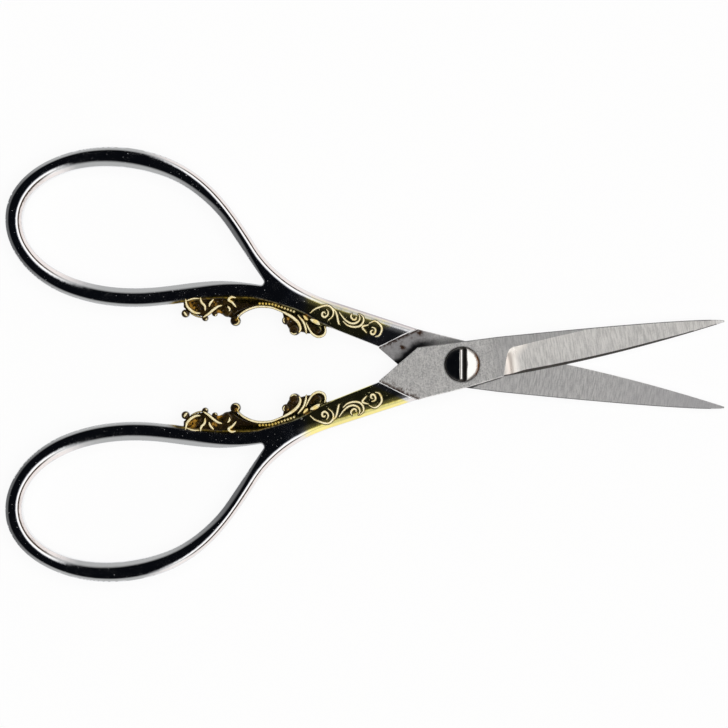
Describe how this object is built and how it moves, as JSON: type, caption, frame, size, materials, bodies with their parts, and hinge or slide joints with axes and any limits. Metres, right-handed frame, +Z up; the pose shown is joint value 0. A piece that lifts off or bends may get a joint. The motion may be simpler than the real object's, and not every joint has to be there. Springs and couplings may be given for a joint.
{
  "type": "embroidery scissors",
  "caption": "Slim embroidery scissors with teardrop finger bows, gilded scroll-work shanks, pointed ground blades and a slotted pivot screw.",
  "frame": {"origin": "on the pivot axis, in the plane that the scissors lie on, at the filed end of the pivot screw", "axes": "+X towards the blade tips, +Y across the open handles towards the rear half's bow, +Z up from the table to the screw head"},
  "size_m": [0.1111, 0.0674, 0.0048],
  "materials": {
    "blade_steel": "ground across the blade, satin",
    "handle_plating": "bright plating, gilded on the scroll work",
    "screw_nickel": "polished"
  },
  "bodies": {
    "rear_half": {"rear_blade": "blade_steel", "rear_handle": "handle_plating", "pivot_screw": "screw_nickel"},
    "front_half": {"front_blade": "blade_steel", "front_handle": "handle_plating"}
  },
  "joints": [
    {"name": "pivot", "type": "hinge", "parent": "rear_half", "child": "front_half", "pos_m": [0, 0, 0.0021], "axis": [0, 0, 1], "range_deg": [-18.6, 110]}
  ]
}
